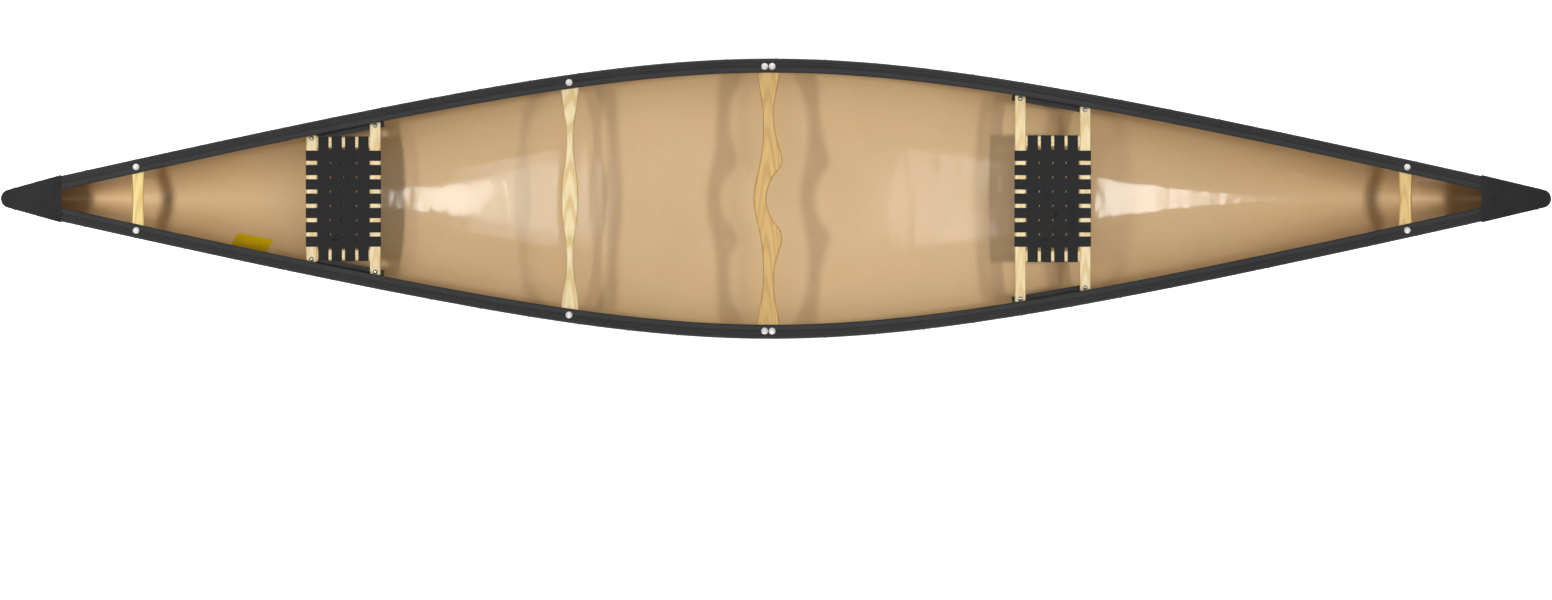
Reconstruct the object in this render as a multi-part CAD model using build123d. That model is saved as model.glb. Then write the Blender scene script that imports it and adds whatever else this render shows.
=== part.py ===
from build123d import *
import math
import os
from functools import lru_cache

# Tandem canoe. Millimetres. +X is the bow, +Y is port, +Z is up. The origin is on the keel line,
# at the bottom centre of the whole boat.

# ---------------------------------------------------------------- driving dimensions
LENGTH = 4877.0  # over the deck caps
HALF_BEAM = 440.0  # widest half breadth, outside the gunwales
PLAN_CENTRE = -15.0  # the widest station lies a little aft of the middle
PLAN_TAPER = 0.24  # slope that the gunwales' plan approaches towards the ends
PLAN_ROUND = 860.0  # length over which the plan turns from parallel to tapering

# Top of the gunwales: (station, height).
SHEER = [
    (-2440, 526), (-2251, 506), (-2006, 474), (-1748, 442), (-1496, 414), (-1182, 388),
    (-868, 374.5), (-500, 368.5), (-100, 367.3), (300, 370), (704, 383), (1019, 405),
    (1333, 434), (1647, 475), (1978, 525), (2213, 562), (2440, 594),
]
# Stern stem, keel line and bow stem of the outer skin, in one run: (station, height).
KEEL = [
    (-2425, 512), (-2408, 415), (-2383, 312), (-2361, 231), (-2345, 185), (-2326, 150),
    (-2298, 121), (-2251, 95), (-2188, 77), (-2006, 54), (-1748, 38), (-1339, 22.5),
    (-868, 10.5), (-434, 3), (0, 0), (434, 1.5), (861, 10.5), (1333, 23), (1647, 35.5),
    (1978, 56), (2118, 71), (2182, 85), (2234, 110), (2276, 146), (2308, 192),
    (2339, 268), (2371, 378), (2402, 510), (2419, 580),
]
# Section shape against distance from the middle, as a share of the half length: fullness of the
# bottom, fullness of the side, and height of the turn of the bilge.
SECTION = [
    (0.00, 0.85, 1.05, 0.03), (0.25, 0.80, 1.05, 0.05), (0.50, 0.62, 1.00, 0.12),
    (0.75, 0.42, 0.88, 0.26), (0.90, 0.36, 0.84, 0.36), (1.00, 0.45, 0.80, 0.55),
]
FAN_START = 1900.0  # beyond this station the section lines lean, to follow the stems

# Hull laminate, from the outside in.
OUTER_SKIN = 1.5
FOAM_CORE = 3.2
INNER_SKIN = 1.3
LAMINATE = OUTER_SKIN + FOAM_CORE + INNER_SKIN

# Gunwale section.
RAIL_WIDTH = 44.0
RAIL_FLANGE = 28.0  # depth of the outer flange
RAIL_WALL = 4.5  # outer flange and top wall
RAIL_BOX = 12.0  # depth of the box on the inboard side
RAIL_WEB = 3.0  # web inside the hull, and walls round the insert
FIT_GAP = 0.3  # room between parts that are pushed over each other
SLIDE_ROOM = 0.2  # round the insert in its channel
RAIL_END = 2325.0  # the rails stop here, under the deck caps
RAIL_STATIONS = 45
INSERT_WIDTH = 22.0
INSERT_INSET = 5.0  # inboard edge of the insert, from the inboard face of the rail
INSERT_END = 2315.0
RIVET_PITCH = 155.0
RIVET_COUNT = 29
RIVET_DEPTH = 17.0  # below the top of the rail
RIVET_SHANK = 4.0
RIVET_HEAD = 9.0
RIVET_DOME = (7.2, 5.58)  # radius of the head's dome, and how far its centre lies inside
RIVET_BULB = (3.2, 2.0)  # radius and length of the set end inside the web

# Deck caps.
CAP_WALL = 3.0
CAP_SKIRT = 38.0
BOW_CAP_LENGTH = 220.0
STERN_CAP_LENGTH = 190.0
CAP_NOSE = 29.0  # radius of the nose, seen from above
CAP_RAKE = 14.5  # degrees that the nose leans
CAP_SCREW_INSET = 45.0  # from the tip to the screws
CAP_SCREW_DROP = 16.0  # below the rails' tops
CAP_SCREW_LENGTH = 22.0
CAP_SCREW_SHANK = 3.6
CAP_SCREW_HEAD = (3.6, 2.4, 1.6)  # radius at the foot, radius at the top, height
CAP_RISE = CAP_WALL + FIT_GAP + 0.2  # top of the cap over the rails' tops

# Thwarts and yoke.
BOLT_INSET = 24.0  # bolt line, in from the outside of the rail
THWART_THICK = 20.0
CONTACT_GAP = 0.1  # between parts that are clamped face to face
BOARD_DROP = RAIL_BOX + CONTACT_GAP  # top of the boards, below the rails' tops
BOARD_END_GAP = 4.5  # between the end of a board and the rail's web
BOARD_EDGE = 6.0  # rounding of the thwarts' long edges
YOKE_EDGE = 6.0
BOW_GRAB_SHAPE = (45.0, 39.0, 37.0, 45.0)  # widths at the end, waist and middle, and Y of the waist
STERN_GRAB_SHAPE = (42.0, 36.0, 35.0, 45.0)
THWART_SHAPE = [  # half widths and the distances from the middle line at which they lie
    (26.5, 0), (24.2, 60), (15.9, 115), (11.4, 162), (10.8, 198), (14.5, 240), (22.8, 292),
    (27.4, 340),
]
THWART_END = 28.5
BOLT_DIAMETER = 6.0
BOLT_HOLE = 6.6
HEAD_DIAMETER = 16.0
THWART_BOLT = (HEAD_DIAMETER, 3.4, 46.0)  # head diameter, head height, shank length
SEAT_BOLT = (15.0, 3.0, 40.0)
WASHER_DIAMETER = 21.0
WASHER_HEIGHT = 1.4
NUT_ACROSS_FLATS = 10.0
NUT_FLANGE = (8.0, 1.6)  # radius, thickness
NUT_HEIGHT = 6.0
DRILL_LENGTH = 80.0
BOW_GRAB_X = 1978.0
STERN_GRAB_X = -2005.0
GRAB_BOLT_OFFSET = 9.0  # the carry thwarts' bolts lie nearer the ends of the boat
THWART_X = -648.0
THWART_BOLT_OFFSET = -3.0
YOKE_X = -24.0
YOKE_BOLT_SPACING = 23.5

# Seats.
STERN_SEAT_X = -1360.0
BOW_SEAT_X = 870.0
SEAT_DROP = 72.0  # from the sheer at the seat's middle to the top of its frame
BAR_WIDTH = 34.0
BAR_THICK = 19.0
WEB_WIDTH = 38.0
WEB_THICK = 1.5
STRIPS_ALONG = 7
STRIPS_ACROSS = 4
TENON = (24.0, 10.0, 15.0)  # width, thickness, length
BAR_ROUND = 4.0
SEAT_SIZES = {  # station of the middle, length over the crossbars, width over the side rails
    "stern_seat": (STERN_SEAT_X, 234.0, 389.0),
    "bow_seat": (BOW_SEAT_X, 238.0, 396.0),
}
STRAP_PITCH_ALONG = 45.0
STRAP_PITCH_ACROSS = 42.0
STRAP_RETURN = 24.0  # how far a strap is turned in under the frame
HANGER_WALL = 6.0
HANGER_WEB = 30.0  # outboard face of the web, from the outside of the rail
HANGER_FOOT = 62.0  # inboard edge of the foot, from the outside of the rail
HANGER_FLANGE = (17.0, 43.0)  # edges of the flange, from the outside of the rail
HANGER_REACH = 1.0  # hanger beyond the crossbars, at each end
HANGER_SLACK = 0.7  # under the slightly curved rail
HANGER_WINDOW = (44.0, 18.0)  # length and height of the rounded holes in the web
HANGER_WINDOW_PITCH = 62.0
SEAT_BOLT_INSET = 52.0
HANGER_SCREW_INSET = 14.0  # from the outer face of a crossbar, along the boat
HANGER_SCREW = (4.0, 2.5, 2.0, 9.3)  # head radius and height, shank radius, reach into the rail
HANGER_SCREW_HOLE = 2.3


def write(name, shapes):
    """Write one sub-part, a solid or a group of separate solids, as one STEP file."""
    shapes = shapes if isinstance(shapes, list) else [shapes]
    solids = [solid for shape in shapes for solid in shape.solids()]
    whole = solids[0] if len(solids) == 1 else Compound(children=solids)
    whole.label = name
    export_step(whole, f"parts/{name}.step")


# ---------------------------------------------------------------- lines of the hull
keel_line = Spline([(x, 0, z) for x, z in KEEL])
keel_line = keel_line.moved(Location((0, 0, -keel_line.bounding_box().min.Z)))
sheer_line = Spline([(x, 0, z) for x, z in SHEER])


def crossing(edge, x, low=0.0, high=1.0):
    """The position along an edge that runs from stern to bow, where it passes station x."""
    for _ in range(40):
        middle = (low + high) / 2
        if (edge @ middle).X < x:
            low = middle
        else:
            high = middle
    return (low + high) / 2


@lru_cache(maxsize=None)
def sheer(x):
    """Height of the top of the gunwales at station x."""
    return (sheer_line @ crossing(sheer_line, x)).Z


def half_beam(x):
    """Half breadth over the outside of the gunwales at station x."""
    run = math.hypot(x - PLAN_CENTRE, PLAN_ROUND) - PLAN_ROUND
    return HALF_BEAM - PLAN_TAPER * run


def section_shape(share):
    """Smooth reading of SECTION at a share of the half length."""
    for low, high in zip(SECTION, SECTION[1:]):
        if share <= high[0]:
            break
    t = (share - low[0]) / (high[0] - low[0])
    index = SECTION.index(low)
    before = SECTION[max(index - 1, 0)]
    after = SECTION[min(index + 2, len(SECTION) - 1)]
    span = high[0] - low[0]
    values = []
    for k in (1, 2, 3):
        slope_low = 0 if index == 0 else (high[k] - before[k]) / (high[0] - before[0]) * span
        slope_high = (after[k] - low[k]) / (after[0] - low[0]) * span
        value = (2 * t**3 - 3 * t**2 + 1) * low[k] + (t**3 - 2 * t**2 + t) * slope_low
        value += (3 * t**2 - 2 * t**3) * high[k] + (t**3 - t**2) * slope_high
        values.append(value)
    return values


FAN_AFT = crossing(keel_line, -FAN_START)
FAN_FORE = crossing(keel_line, FAN_START)
KEEL_LENGTH = keel_line.length
NOSE_REACH = 24.0  # from the stem head back to the rim's first full width
NOSE_MARGIN = 0.006


def fan_station(share, tip):
    """Station on the rim for a share of the way from a stem head to the start of the fan."""
    reach = FAN_START - (abs(tip) - NOSE_REACH)
    arc = (FAN_AFT if tip < 0 else 1 - FAN_FORE) * KEEL_LENGTH
    lead = 2 - arc / abs(reach)
    return math.copysign(abs(tip) - NOSE_REACH + reach * (lead * share + (1 - lead) * share**2), tip)


@lru_cache(maxsize=None)
def station(u):
    """Keel point, rim point and section shape for u, from 0 at the stern to 1 at the bow."""
    keel = keel_line @ u
    if u < FAN_AFT:
        x = fan_station(u / FAN_AFT, KEEL[0][0])
    elif u > FAN_FORE:
        x = fan_station((1 - u) / (1 - FAN_FORE), KEEL[-1][0])
    else:
        x = keel.X
    rim = (x, half_beam(x) - RAIL_WALL - FIT_GAP, sheer(x) - RAIL_WALL - FIT_GAP)
    share = min(abs(x) / (KEEL[-1][0] - NOSE_REACH), 1.0)
    return keel, rim, section_shape(share)


def outside(u, v):
    """Point on the outer skin: v runs round the section, from the starboard rim at -1 to port at 1."""
    keel, (x, y, z), (bottom, side, bilge) = station(u)
    t = abs(v)
    across = 3 * (1 - t) ** 2 * t * bottom + 3 * (1 - t) * t * t * side + t**3
    up = 3 * (1 - t) * t * t * bilge + t**3
    return Vector(keel.X + (x - keel.X) * up, math.copysign(y * across, v), keel.Z + (z - keel.Z) * up)


def outward(u, v):
    """Unit normal of the outer skin, pointing out of the boat. At a stem head the rim runs into
    the nose, where the surface has no clear normal, so it is read a little way down the stem."""
    step = 1e-4
    u = min(max(u, NOSE_MARGIN), 1 - NOSE_MARGIN)
    along = outside(min(u + step, 1), v) - outside(max(u - step, 0), v)
    around = outside(u, min(v + step, 1)) - outside(u, max(v - step, -1))
    return around.cross(along).normalized()


def skin(u, v, inset):
    """Point on the layer that lies inset below the outer skin."""
    return outside(u, v) - outward(u, v) * inset


# ---------------------------------------------------------------- hull laminate
ROWS = 110
COLUMNS = 49
ROW_CROWDING = 0.10  # how strongly the rows gather towards the stems


def layer(inset):
    """Face between two layers of the laminate, with more rows where the stems curve."""
    rows = []
    for i in range(ROWS + 1):
        s = i / ROWS
        u = s - ROW_CROWDING * math.sin(2 * math.pi * s)
        rows.append([skin(u, -1 + 2 * j / (COLUMNS - 1), inset) for j in range(COLUMNS)])
    return Face.make_surface_from_array_of_points(rows, tol=0.02, min_deg=3, max_deg=5)


def shell_between(outer, inner):
    """Closed solid between two layers, joined by a strip along each edge."""
    strips = [
        Face.make_surface_from_curves(a, b) for a, b in zip(outer.edges(), inner.edges())
    ]
    return Solid(Shell([outer, inner, *strips]))


layers = [layer(0), layer(OUTER_SKIN), layer(OUTER_SKIN + FOAM_CORE), layer(LAMINATE)]
skins = [shell_between(a, b) for a, b in zip(layers, layers[1:])]


# ---------------------------------------------------------------- places along the rails
@lru_cache(maxsize=None)
def rim_position(x):
    """The u whose rim point lies at station x."""
    low, high = 0.0, 1.0
    for _ in range(40):
        middle = (low + high) / 2
        if station(middle)[1][0] < x:
            low = middle
        else:
            high = middle
    return (low + high) / 2


@lru_cache(maxsize=None)
def lean(x):
    """How far the hull has moved inboard at the foot of the rail's flange."""
    target = sheer(x) - RAIL_FLANGE
    u, v = rim_position(x), 0.97
    for _ in range(8):
        here = outside(u, v)
        du = outside(u + 1e-4, v) - here
        dv = outside(u, v + 1e-4) - here
        miss_x, miss_z = x - here.X, target - here.Z
        det = du.X * dv.Z - dv.X * du.Z
        u += 1e-4 * (miss_x * dv.Z - miss_z * dv.X) / det
        v += 1e-4 * (du.X * miss_z - du.Z * miss_x) / det
    return half_beam(x) - RAIL_WALL - FIT_GAP - outside(u, v).Y


def rail_point(x, inset, z=0.0):
    """Point at a distance inboard of the port rail's outside, square to the rail."""
    slope = (half_beam(x + 1) - half_beam(x - 1)) / 2
    size = math.hypot(slope, 1)
    return Vector(x + slope / size * inset, half_beam(x) - inset / size, z)


def rail_inset_y(x, inset):
    """Y of the line that runs at a distance inboard of the rail's outside, at station x."""
    slope = (half_beam(x + 1) - half_beam(x - 1)) / 2
    return half_beam(x) - inset * math.hypot(slope, 1)


def along(limit, count):
    """Evenly spaced stations from -limit to limit."""
    return [-limit + 2 * limit * i / (count - 1) for i in range(count)]


def rail_loft(outline, limit):
    """Loft an outline of (inset, drop) points, given for each station, along the port rail."""
    wires = []
    for x in along(limit, RAIL_STATIONS):
        points = [rail_point(x, inset, sheer(x) - drop) for inset, drop in outline(x)]
        wires.append(Wire.make_polygon(points, close=True))
    return Solid.make_loft(wires)


def rail_outline(x):
    """Hooked box section: flange outside the hull, web inside it, box for the insert inboard."""
    foot = lean(x)
    step = foot * (RAIL_BOX - RAIL_WALL) / (RAIL_FLANGE - RAIL_WALL)
    inside = RAIL_WALL + LAMINATE + 2 * FIT_GAP
    return [
        (0, 0), (RAIL_WIDTH, 0), (RAIL_WIDTH, RAIL_BOX), (inside + RAIL_WEB + step, RAIL_BOX),
        (inside + RAIL_WEB + foot, RAIL_FLANGE), (inside + foot, RAIL_FLANGE),
        (inside, RAIL_WALL), (RAIL_WALL, RAIL_WALL), (RAIL_WALL + foot, RAIL_FLANGE),
        (foot, RAIL_FLANGE),
    ]


def insert_outline(room):
    """Flat bar inside the box of the rail, or its channel with room round it."""
    inner = RAIL_WIDTH - INSERT_INSET + room
    outer = inner - INSERT_WIDTH - 2 * room
    top = RAIL_WEB + SLIDE_ROOM - room
    bottom = RAIL_BOX - RAIL_WEB - SLIDE_ROOM + room
    corners = [(outer, top), (inner, top), (inner, bottom), (outer, bottom)]
    return lambda x: corners


channel = rail_loft(insert_outline(SLIDE_ROOM), RAIL_END + 5)
rail = rail_loft(rail_outline, RAIL_END) - channel
insert = rail_loft(insert_outline(0.0), INSERT_END)


def both_sides(shapes):
    """The shapes on the port side and their mirror images to starboard."""
    return [*shapes, *(mirror(shape, about=Plane.XZ) for shape in shapes)]


def prism(points, low, high):
    """Straight-sided solid over an outline seen from above."""
    face = make_face(Polyline([(x, y, low) for x, y in points], close=True))
    return extrude(face, high - low, dir=(0, 0, 1))


def side_prism(points, half_width=600.0):
    """Straight-sided solid across the boat, over an outline seen from the side."""
    face = make_face(Polyline([(x, half_width, z) for x, z in points], close=True))
    return extrude(face, 2 * half_width, dir=(0, -1, 0))


def slot_frame(x, drop):
    """Plane across the boat that follows the sheer at station x, drop below the rails' tops."""
    slope = (sheer(x + 20) - sheer(x - 20)) / 40
    return Plane(origin=(x, 0, sheer(x) - drop), x_dir=(1, 0, slope), z_dir=(-slope, 0, 1))


# ---------------------------------------------------------------- rivets
def rivet():
    """Blind rivet: domed head outside the flange, bulb inside the web. +Z is outward."""
    grip = RAIL_WALL + LAMINATE + 2 * FIT_GAP + RAIL_WEB
    lift = CONTACT_GAP / 2
    ball_radius, ball_depth = RIVET_DOME
    bulb_radius, bulb_length = RIVET_BULB
    dome = Pos(0, 0, -ball_depth) * Sphere(ball_radius)
    dome &= Pos(0, 0, RIVET_HEAD / 2 + lift) * Box(2 * RIVET_HEAD, 2 * RIVET_HEAD, RIVET_HEAD)
    shank = Pos(0, 0, (2 * lift - grip) / 2) * Cylinder(RIVET_SHANK / 2, grip + 2 * lift)
    bulb = Pos(0, 0, -grip - bulb_length / 2 - 4 * lift) * Cylinder(bulb_radius, bulb_length)
    return dome + shank + bulb


def rivet_place(x):
    """Location of a rivet on the port flange, with +Z square to its leaning outer face."""
    inset = lean(x) * RIVET_DEPTH / RAIL_FLANGE
    here = rail_point(x, inset, sheer(x) - RIVET_DEPTH)
    inboard = (rail_point(x, inset + 1, here.Z) - here).normalized()
    normal = -inboard - Vector(0, 0, lean(x) / RAIL_FLANGE)
    return Plane(origin=here, z_dir=normal).location


rivet_stations = along(RIVET_PITCH * (RIVET_COUNT - 1) / 2, RIVET_COUNT)
rivets = [rivet_place(x) * rivet() for x in rivet_stations]
rivet_drills = [
    rivet_place(x) * Cylinder(RIVET_SHANK / 2 + 0.2, 60) for x in rivet_stations
]


# ---------------------------------------------------------------- bolts, washers and nuts
def domed_bolt(head_diameter, head_height, length):
    """Bolt with a domed head standing on z = 0 and its shank below."""
    radius = head_diameter / 2
    ball = (radius**2 + head_height**2) / (2 * head_height)
    head = Pos(0, 0, head_height - ball) * Sphere(ball)
    head &= Pos(0, 0, head_height / 2) * Cylinder(head_diameter, head_height)
    shank = Pos(0, 0, -length / 2) * Cylinder(BOLT_DIAMETER / 2, length)
    return head + shank


def cup_washer():
    """Finishing washer under a bolt head, with its bottom at z = 0 and a sloping edge."""
    body = Cone(WASHER_DIAMETER / 2, HEAD_DIAMETER / 2 + 0.5, WASHER_HEIGHT)
    return Pos(0, 0, WASHER_HEIGHT / 2) * body - Cylinder(BOLT_HOLE / 2, 4 * WASHER_HEIGHT)


def flange_nut():
    """Hexagon nut with a round flange, hanging below z = 0."""
    radius, thickness = NUT_FLANGE
    flange = Pos(0, 0, -thickness / 2) * Cylinder(radius, thickness)
    sides = RegularPolygon(NUT_ACROSS_FLATS / 2, 6, major_radius=False)
    hexagon = Pos(0, 0, -NUT_HEIGHT) * extrude(sides, NUT_HEIGHT - thickness / 2)
    return flange + hexagon - Cylinder(BOLT_DIAMETER / 2 + CONTACT_GAP, 4 * NUT_HEIGHT)


# ---------------------------------------------------------------- thwarts and yoke
def mirrored(points):
    """Outline points given for y >= 0, continued to the other side."""
    return [(x, -y) for x, y in reversed(points) if y > 0] + points


def board(fore, aft, edge):
    """Flat board with curved fore and aft edges, given as (x, y) for y >= 0, and softened rims."""
    front, back = mirrored(fore), mirrored(aft)
    outline = [
        Spline(front), Line(front[-1], back[-1]), Spline(back[::-1]), Line(back[0], front[0]),
    ]
    solid = extrude(make_face(Wire(outline)), -THWART_THICK)
    rims = solid.edges().filter_by(GeomType.BSPLINE)
    return fillet(rims, edge)


def board_end(x):
    """Half length of a board whose ends stop just short of the rails' webs."""
    return rail_inset_y(x, RAIL_WALL + LAMINATE + RAIL_WEB + BOARD_END_GAP)


def symmetric(edge):
    """Fore and aft outlines of a board with the same curve on both edges."""
    return edge, [(-a, b) for a, b in edge]


def waisted(x, end, waist, middle, waist_y):
    """Outlines of a carry thwart that narrows between its ends and its middle."""
    return symmetric([(middle / 2, 0), (waist / 2, waist_y), (end / 2, board_end(x))])


bow_grab = board(*waisted(BOW_GRAB_X, *BOW_GRAB_SHAPE), BOARD_EDGE)
stern_grab = board(*waisted(STERN_GRAB_X, *STERN_GRAB_SHAPE), BOARD_EDGE)
thwart = board(*symmetric([*THWART_SHAPE, (THWART_END, board_end(THWART_X))]), BOARD_EDGE)
yoke_fore = [
    (-6, 0), (2, 42), (19, 75), (40, 103), (43.5, 125), (34, 163), (20, 220), (17.5, 285),
    (25, 332), (34, board_end(YOKE_X)),
]
yoke_aft = [
    (-47, 0), (-42, 45), (-29, 103), (-19, 165), (-16, 225), (-18.5, 285), (-26, 332),
    (-34, board_end(YOKE_X)),
]
yoke = board(yoke_fore, yoke_aft, YOKE_EDGE)

half_spacing = YOKE_BOLT_SPACING / 2
BOARDS = {  # station, blank, bolt positions ahead of the station
    "bow_carry_thwart": (BOW_GRAB_X, bow_grab, [GRAB_BOLT_OFFSET]),
    "stern_carry_thwart": (STERN_GRAB_X, stern_grab, [-GRAB_BOLT_OFFSET]),
    "contoured_thwart": (THWART_X, thwart, [THWART_BOLT_OFFSET]),
    "carrying_yoke": (YOKE_X, yoke, [-half_spacing, half_spacing]),
}
board_bolts, board_washers, board_nuts, board_drills, boards = [], [], [], [], {}
for name, (x, blank, offsets) in BOARDS.items():
    frame = slot_frame(x, BOARD_DROP).location
    drills = []
    for offset in offsets:
        reach = rail_inset_y(x + offset, BOLT_INSET)
        rail_top = BOARD_DROP + CONTACT_GAP
        head_seat = rail_top + WASHER_HEIGHT + CONTACT_GAP
        for side in (reach, -reach):
            drills.append(Pos(offset, side, 0) * Cylinder(BOLT_HOLE / 2, DRILL_LENGTH))
            board_washers.append(frame * Pos(offset, side, rail_top) * cup_washer())
            board_bolts.append(frame * Pos(offset, side, head_seat) * domed_bolt(*THWART_BOLT))
            nut_seat = -THWART_THICK - CONTACT_GAP
            board_nuts.append(frame * Pos(offset, side, nut_seat) * flange_nut())
    boards[name] = frame * (blank - drills)
    board_drills += [frame * drill for drill in drills]


# ---------------------------------------------------------------- seats
def strap(half_span, base, top, thickness):
    """Strap over a frame: flat on top, down both outer faces and turned in below (x, z)."""
    out = half_span + thickness
    low = base - thickness
    inner = half_span - STRAP_RETURN
    return [
        (-out, top + thickness), (out, top + thickness), (out, low), (inner, low), (inner, base),
        (half_span, base), (half_span, top), (-half_span, top), (-half_span, base), (-inner, base),
        (-inner, low), (-out, low),
    ]


def crossbar(x, z):
    """Crossbar at station x with its top at z, reaching the hangers' webs at both ends."""
    narrow_x = max((x - BAR_WIDTH / 2, x + BAR_WIDTH / 2), key=abs)
    half = rail_inset_y(narrow_x, HANGER_WEB + HANGER_WALL + 3.0)
    bar = Pos(x, 0, z - BAR_THICK / 2) * Box(BAR_WIDTH, 2 * half, BAR_THICK)
    return fillet(bar.edges().filter_by(Axis.Y), BAR_ROUND)


def seat(name):
    """All pieces of one seat, as a dictionary of nodes."""
    middle, length, width = SEAT_SIZES[name]
    top = sheer(middle) - SEAT_DROP
    base = top - BAR_THICK
    bar_x = {"aft": middle - (length - BAR_WIDTH) / 2, "fore": middle + (length - BAR_WIDTH) / 2}
    rail_y = (width - BAR_WIDTH) / 2
    rail_length = length - 2 * BAR_WIDTH
    tenon_w, tenon_t, tenon_l = TENON
    pieces, bolts, nuts, screws = {}, [], [], []

    # Side rails with a tenon at each end.
    rail_body = Box(rail_length - 2 * CONTACT_GAP, BAR_WIDTH, BAR_THICK)
    rail_body = fillet(rail_body.edges().filter_by(Axis.X), BAR_ROUND)
    rail_body += Box(rail_length + 2 * tenon_l, tenon_w, tenon_t)
    side_rails = [Pos(middle, y, top - BAR_THICK / 2) * rail_body for y in (rail_y, -rail_y)]
    pieces[f"{name}_port_side_rail"], pieces[f"{name}_starboard_side_rail"] = side_rails
    room = 4 * CONTACT_GAP
    mortise = Box(rail_length + 2 * tenon_l + room, tenon_w + room, tenon_t + room)
    mortises = [Pos(middle, y, top - BAR_THICK / 2) * mortise for y in (rail_y, -rail_y)]

    # Crossbars, bolted down to the hangers' feet.
    bolt_places = []
    for end, x in bar_x.items():
        bar = crossbar(x, top)
        y = rail_inset_y(x, SEAT_BOLT_INSET)
        holes = [Pos(x, side, top) * Cylinder(BOLT_HOLE / 2, DRILL_LENGTH) for side in (y, -y)]
        pieces[f"{name}_{end}_crossbar"] = bar - mortises - holes
        bolt_places += [(x, y), (x, -y)]
        bolts += [Pos(x, side, top + CONTACT_GAP) * domed_bolt(*SEAT_BOLT) for side in (y, -y)]
        nut_seat = base - HANGER_WALL - 3 * CONTACT_GAP
        nuts += [Pos(x, side, nut_seat) * flange_nut() for side in (y, -y)]

    # Webbing: straps along the boat lie on the frame, straps across it lie on those.
    along_straps = side_prism(strap(length / 2, base, top, WEB_THICK), WEB_WIDTH / 2)
    pieces[f"{name}_webbing_lengthwise"] = [
        Pos(middle, (i - (STRIPS_ALONG - 1) / 2) * STRAP_PITCH_ALONG, 0) * along_straps
        for i in range(STRIPS_ALONG)
    ]
    across = side_prism(strap(width / 2, base, top + WEB_THICK, WEB_THICK), WEB_WIDTH / 2)
    pieces[f"{name}_webbing_crosswise"] = [
        Pos(middle + (i - (STRIPS_ACROSS - 1) / 2) * STRAP_PITCH_ACROSS, 0, 0) * Rot(0, 0, 90) * across
        for i in range(STRIPS_ACROSS)
    ]

    # Hangers: a flange under the rail, a pierced web, and a foot that carries the crossbars.
    start, stop = middle - length / 2 - HANGER_REACH, middle + length / 2 + HANGER_REACH
    under = RAIL_BOX + HANGER_SLACK
    slope = (sheer(stop) - sheer(start)) / (stop - start)
    floor = base - HANGER_WALL - CONTACT_GAP
    ceiling = max(sheer(start), sheer(stop))

    def roof(x):
        """Underside of the rail at station x, taken as straight along the hanger."""
        return sheer(start) - under + slope * (x - start)

    def strip(inner, outer):
        """Outline, from above, of a strip along the rail between two insets."""
        corners = [(start, inner), (stop, inner), (stop, outer), (start, outer)]
        return [(rail_point(x, inset).X, rail_point(x, inset).Y) for x, inset in corners]

    def below_roof(drop):
        """Everything lower than a line at a distance under the rail."""
        a, b = start - HANGER_WEB, stop + HANGER_WEB
        return side_prism([(a, 0), (b, 0), (b, roof(b) - drop), (a, roof(a) - drop)])

    flange = prism(strip(*HANGER_FLANGE), floor, ceiling) & below_roof(0)
    flange -= below_roof(HANGER_WALL)
    web = prism(strip(HANGER_WEB, HANGER_WEB + HANGER_WALL), floor, ceiling) & below_roof(1)
    window_z = (base + min(roof(start), roof(stop))) / 2 - 2
    for step in (-1, 0, 1):
        window = Pos(middle + step * HANGER_WINDOW_PITCH, 0, window_z) * Rot(90, 0, 0)
        web -= window * extrude(SlotOverall(*HANGER_WINDOW), 2 * HALF_BEAM, both=True)
    foot = prism(strip(HANGER_WEB, HANGER_FOOT), floor, base - CONTACT_GAP)
    foot -= Pos(middle, 0, base) * Box(rail_length, width + 4, 4 * HANGER_WALL)
    hanger = flange + web + foot
    hanger -= [
        Pos(x, y, base) * Cylinder(BOLT_HOLE / 2, 4 * HANGER_WALL) for x, y in bolt_places if y > 0
    ]

    # Screws up through the flange into the bar inside the rail.
    head_radius, head_height, shank_radius, reach = HANGER_SCREW
    head_seat = HANGER_WALL + CONTACT_GAP
    head = Pos(0, 0, head_seat + head_height / 2) * Cylinder(head_radius, head_height)
    shank = Pos(0, 0, (head_seat + head_height - reach) / 2)
    shank *= Cylinder(shank_radius, head_seat + head_height + reach)
    tilt = -math.degrees(math.atan(slope))
    for step in (-1, 0, 1):
        point = rail_point(middle + step * (length / 2 - HANGER_SCREW_INSET), BOLT_INSET)
        place = Pos(point.X, point.Y, roof(point.X)) * Rot(0, tilt, 0) * Rot(180, 0, 0)
        screws.append(place * (head + shank))
        seat_drills.append(place * Cylinder(HANGER_SCREW_HOLE, 2 * reach + 1))
        hanger -= place * Cylinder(HANGER_SCREW_HOLE, 6 * HANGER_WALL)
    pieces[f"{name}_hanger_port"] = hanger
    pieces[f"{name}_hanger_starboard"] = mirror(hanger, about=Plane.XZ)
    pieces[f"{name}_bolts"] = bolts
    pieces[f"{name}_nuts"] = nuts
    pieces[f"{name}_hanger_screws"] = both_sides(screws)
    return pieces


seat_drills = []
seats = {**seat("stern_seat"), **seat("bow_seat")}


# ---------------------------------------------------------------- deck caps
def cap_outline(tip, inboard, grow):
    """Closed outline of a deck cap seen from above: tapering sides and a round nose."""
    sign = math.copysign(1, tip)
    nose = CAP_NOSE + grow
    centre_x = tip + sign * grow - sign * nose
    wide = half_beam(inboard) + CAP_WALL + FIT_GAP + grow
    # The side leaves the nose at its tangent.
    reach = math.hypot(centre_x - inboard, wide)
    turn = math.acos(nose / reach) + math.atan2(wide, abs(centre_x - inboard))
    touch = (centre_x - sign * nose * math.cos(turn), nose * math.sin(turn))
    return [
        Line((inboard, -wide), (touch[0], -touch[1])),
        ThreePointArc((touch[0], -touch[1]), (centre_x + sign * nose, 0), touch),
        Line(touch, (inboard, wide)),
        Line((inboard, wide), (inboard, -wide)),
    ]


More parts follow.
